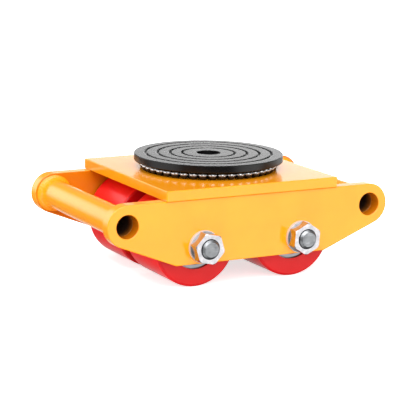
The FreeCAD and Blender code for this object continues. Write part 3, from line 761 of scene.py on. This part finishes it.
def straight_bead(sizes, start, end, wall, ceiling, way):
    """Rows of a weld along X, in the corner under a ceiling, with the wall on its way side."""
    count = round((end - start) / sizes.weld_ripple_pitch * BEAD_ROWS)
    rows = []
    for number in range(count + 1):
        run = (end - start) * number / count
        from_end = min(run, end - start - run) / sizes.weld_leg
        section = bead_section(sizes, run, math.sqrt(min(1.0, BEAD_END + from_end)))
        rows.append([(start + run, wall - way * out, ceiling - down) for down, out in section])
    return rows


def pad_corners(sizes):
    """The corners of the load pad's section, as (radius, height, round)."""
    low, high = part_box("rubber_pad")
    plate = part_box("swivel_plate")[1]
    bore = MOUNTS["pivot_bore"]["dims"]["r_mm"] / 1000
    groove_floor = high.z - sizes.pad_groove_depth
    mouth = sizes.pad_groove_round
    corners = [(plate.x, low.z, 0.0), (high.x, low.z, mouth), (high.x, high.z, sizes.pad_rim)]
    for number in reversed(range(sizes.pad_grooves)):
        middle = sizes.pad_groove_first + number * sizes.pad_groove_pitch
        outer, inner = middle + sizes.pad_groove_width / 2, middle - sizes.pad_groove_width / 2
        corners += [
            (outer, high.z, mouth),
            (outer, groove_floor, mouth),
            (inner, groove_floor, mouth),
            (inner, high.z, mouth),
        ]
    corners += [(bore, high.z, mouth), (bore, plate.z, 0.0), (plate.x, plate.z, 0.0)]
    return corners


class SKATE_OT_carriage(bpy.types.Operator):
    """Paint the side plates, the deck and the tie tubes"""
    bl_idname = "skate.carriage"
    bl_label = "Carriage"

    def execute(self, context):
        colours = context.scene.skate_colours
        dress(powder_coat(colours), "right_side_plate", "left_side_plate")
        dress(deck_coat(colours), "deck_plate")
        dress(tube_coat(colours), *named(ROWS, "tie_tube"))
        return {"FINISHED"}


class SKATE_OT_welds(bpy.types.Operator):
    """Lay the rippled fillet welds round the tie tubes and under the deck, and paint them"""
    bl_idname = "skate.welds"
    bl_label = "Welds"

    def execute(self, context):
        sizes = context.scene.skate_sizes
        paint = weld_coat(context.scene.skate_colours)
        for row in ROWS:
            low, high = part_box(f"{row}_tie_tube")
            middle = (low.x + high.x) / 2, (low.z + high.z) / 2
            radius = (high.x - low.x) / 2
            rings = [ring_bead(sizes, middle, radius, way * high.y, way) for way in BOTH_WAYS]
            bead = skin(f"{row}_tie_weld_beads", rings, True, paint)
            stand_for(bead, f"{row}_tie_welds", "carriage")
        low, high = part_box("deck_welds")
        runs = [
            straight_bead(sizes, low.x, high.x, way * high.y, high.z, way) for way in BOTH_WAYS]
        bead = skin("deck_weld_beads", runs, False, paint)
        stand_for(bead, "deck_welds", "carriage")
        return {"FINISHED"}


class SKATE_OT_tyres(bpy.types.Operator):
    """Finish the urethane tyres"""
    bl_idname = "skate.tyres"
    bl_label = "Tyres"

    def execute(self, context):
        dress(urethane(context.scene.skate_colours), *named(CORNERS, "tyre"))
        return {"FINISHED"}


class SKATE_OT_axles(bpy.types.Operator):
    """Finish the axles, their spacers, the roller cores and the bearing sleeves"""
    bl_idname = "skate.axles"
    bl_label = "Axles and cores"

    def execute(self, context):
        steel = turned_steel(context.scene.skate_colours)
        dress(steel, *named(ROWS, "axle", "axle_spacers"))
        dress(steel, *named(CORNERS, "core", "bearing_sleeve"))
        return {"FINISHED"}


class SKATE_OT_nuts(bpy.types.Operator):
    """Finish the axle nuts and their washers"""
    bl_idname = "skate.nuts"
    bl_label = "Nuts and washers"

    def execute(self, context):
        colours = context.scene.skate_colours
        dress(bright_zinc(colours), *named(ROWS, "axle_nuts"))
        dress(satin_zinc(colours), *named(ROWS, "axle_washers"))
        return {"FINISHED"}


class SKATE_OT_bearings(bpy.types.Operator):
    """Finish the rollers' ball bearings"""
    bl_idname = "skate.bearings"
    bl_label = "Bearings"

    def execute(self, context):
        colours = context.scene.skate_colours
        dress(bearing_steel(colours), *named(CORNERS, "bearing_inner_rings", "bearing_balls"))
        dress(shield_steel(colours), *named(CORNERS, "bearing_outer_rings", "bearing_shields"))
        dress(cage_brass(colours), *named(CORNERS, "bearing_cages"))
        return {"FINISHED"}


class SKATE_OT_load_pad(bpy.types.Operator):
    """Mould the rubber load pad, with rounds at its rim and its ring grooves"""
    bl_idname = "skate.load_pad"
    bl_label = "Load pad"

    def execute(self, context):
        rows = rows_about_z(rounded(pad_corners(context.scene.skate_sizes)), PAD_SEGMENTS)
        rubber = moulded_rubber(context.scene.skate_colours)
        pad = skin("load_pad_rubber", [rows], True, rubber)
        stand_for(pad, "rubber_pad", "swivel")
        return {"FINISHED"}


class SKATE_OT_swivel(bpy.types.Operator):
    """Finish the swivel plate, its pivot tube, the thrust washer and the retaining ring"""
    bl_idname = "skate.swivel"
    bl_label = "Swivel"

    def execute(self, context):
        colours = context.scene.skate_colours
        dress(black_oxide(colours), "swivel_plate", "pivot_tube")
        dress(swivel_steel(colours), "thrust_washer")
        dress(spring_steel(colours), "retaining_ring")
        return {"FINISHED"}


class SKATE_OT_thrust_balls(bpy.types.Operator):
    """Polish the ring of balls under the swivel, with grease and painted shade on them"""
    bl_idname = "skate.thrust_balls"
    bl_label = "Thrust balls"

    def execute(self, context):
        dress(balls_greased_and_shaded(context.scene.skate_colours), "thrust_balls")
        return {"FINISHED"}


def seen_by_camera(tree):
    """1 for what the camera sees straight, 0 for the light on the skate."""
    return tree.add("ShaderNodeLightPath").outputs["Is Camera Ray"]


def make_floor(studio, colours):
    """A wide round floor."""
    pale = Finish("pale_floor")
    shade = [0.985 * part for part in colours.floor]
    pale.set(
        Base_Color=pale.blend(pale.noise(0.4), colours.floor, shade),
        Roughness=pale.between(pale.noise(0.1), 0.55, 0.65),
        Emission_Color=colours.floor,
        Emission_Strength=pale.math("MULTIPLY", seen_by_camera(pale), studio.floor_glow),
    )
    rim = [row[0] for row in rows_about_z([(studio.floor_radius, 0.0)], FLOOR_SEGMENTS)]
    faces = [
        (0, 1 + number, 1 + (number + 1) % FLOOR_SEGMENTS) for number in range(FLOOR_SEGMENTS)]
    mesh = bpy.data.meshes.new("studio_floor")
    mesh.from_pydata([(0.0, 0.0, 0.0), *rim], [], faces)
    mesh.materials.append(pale.material)
    floor = bpy.data.objects.new("studio_floor", mesh)
    bpy.context.scene.collection.objects.link(floor)
    floor.visible_glossy = False


def way_to(azimuth, elevation):
    """The direction at an azimuth from the skate's right side and a height above the horizon."""
    level = math.cos(elevation)
    return Vector((math.sin(azimuth) * level, -math.cos(azimuth) * level, math.sin(elevation)))


def make_surroundings(studio):
    """Surroundings with soft boxes in them, behind a plain white backdrop."""
    world = bpy.data.worlds.new("studio_surroundings")
    tree = Nodes(world)
    way = tree.add("ShaderNodeTexCoord").outputs["Generated"]
    height = tree.add("ShaderNodeSeparateXYZ", {"Vector": way}).outputs["Z"]
    light = tree.between(
        height, studio.low_room, studio.room, start=-HORIZON, end=HORIZON, curve="SMOOTHSTEP")
    for name, (azimuth, elevation, half, rim, flat) in SOFT_BOXES.items():
        squeeze = Vector((1.0, 1.0, flat))
        aim = (way_to(math.radians(azimuth), math.radians(elevation)) * squeeze).normalized()
        squeezed = tree.vector("MULTIPLY", way, squeeze).outputs["Vector"]
        seen = tree.vector("NORMALIZE", squeezed).outputs["Vector"]
        inside = tree.between(
            tree.vector("DOT_PRODUCT", seen, aim).outputs["Value"], 0.0, getattr(studio, name),
            start=math.cos(math.radians(half + rim)), end=math.cos(math.radians(half - rim)),
            curve="SMOOTHSTEP")
        light = tree.math("ADD", light, inside)
    background = tree.nodes["Background"]
    tree.feed(background.inputs["Color"], (1.0, 1.0, 1.0))
    tree.feed(background.inputs["Strength"], tree.mix(seen_by_camera(tree), light, studio.backdrop))
    bpy.context.scene.world = world


def make_camera(studio):
    """The camera, at the picture's place, angle and focal length."""
    roll = studio.roll
    back = way_to(studio.azimuth, studio.elevation)
    level = Vector((0.0, 0.0, 1.0)).cross(back).normalized()
    upright = back.cross(level)
    right = level * math.cos(roll) + upright * math.sin(roll)
    up = upright * math.cos(roll) - level * math.sin(roll)
    data = bpy.data.cameras.new("picture_camera")
    data.sensor_width = SENSOR_WIDTH
    data.lens = studio.focal_pixels * SENSOR_WIDTH / PICTURE_PIXELS
    data.clip_start, data.clip_end = CLIP_RANGE
    camera = bpy.data.objects.new("picture_camera", data)
    place = Vector(studio.target) + back * studio.distance
    turn = Matrix((right, up, back)).transposed().to_quaternion()
    camera.matrix_world = Matrix.LocRotScale(place, turn, None)
    bpy.context.scene.collection.objects.link(camera)
    bpy.context.scene.camera = camera


class SKATE_OT_studio(bpy.types.Operator):
    """Set up the floor, the surroundings, the lights and the camera"""
    bl_idname = "skate.studio"
    bl_label = "Studio"

    def execute(self, context):
        studio = context.scene.skate_studio
        make_floor(studio, context.scene.skate_colours)
        make_surroundings(studio)
        make_camera(studio)
        context.scene.view_settings.view_transform = "Standard"
        return {"FINISHED"}


GROUPS = {"skate_colours": SkateColours, "skate_sizes": SkateSizes, "skate_studio": SkateStudio}
STEPS = (
    SKATE_OT_carriage, SKATE_OT_welds, SKATE_OT_tyres, SKATE_OT_axles, SKATE_OT_nuts,
    SKATE_OT_bearings, SKATE_OT_load_pad, SKATE_OT_swivel, SKATE_OT_thrust_balls, SKATE_OT_studio,
)


class SKATE_PT_panel(bpy.types.Panel):
    """The skate's steps and settings"""
    bl_label = "Machine skate"
    bl_idname = "SKATE_PT_panel"
    bl_space_type = "VIEW_3D"
    bl_region_type = "UI"
    bl_category = "Skate"

    def draw(self, context):
        for step in STEPS:
            self.layout.operator(step.bl_idname)
        for group_name in GROUPS:
            group = getattr(context.scene, group_name)
            box = self.layout.box()
            for name in group.__annotations__:
                box.prop(group, name)


def register():
    """Add the skate's settings, steps and panel."""
    for kind in (*GROUPS.values(), *STEPS, SKATE_PT_panel):
        bpy.utils.register_class(kind)
    for name, kind in GROUPS.items():
        setattr(bpy.types.Scene, name, PointerProperty(type=kind))


def unregister():
    """Take the skate's settings, steps and panel away."""
    for name in GROUPS:
        delattr(bpy.types.Scene, name)
    for kind in reversed((*GROUPS.values(), *STEPS, SKATE_PT_panel)):
        bpy.utils.unregister_class(kind)


def main():
    """Run every step in order."""
    register()
    bpy.ops.skate.carriage()
    bpy.ops.skate.welds()
    bpy.ops.skate.tyres()
    bpy.ops.skate.axles()
    bpy.ops.skate.nuts()
    bpy.ops.skate.bearings()
    bpy.ops.skate.load_pad()
    bpy.ops.skate.swivel()
    bpy.ops.skate.thrust_balls()
    bpy.ops.skate.studio()
    bpy.context.view_layer.update()


if __name__ == "__main__":
    main()
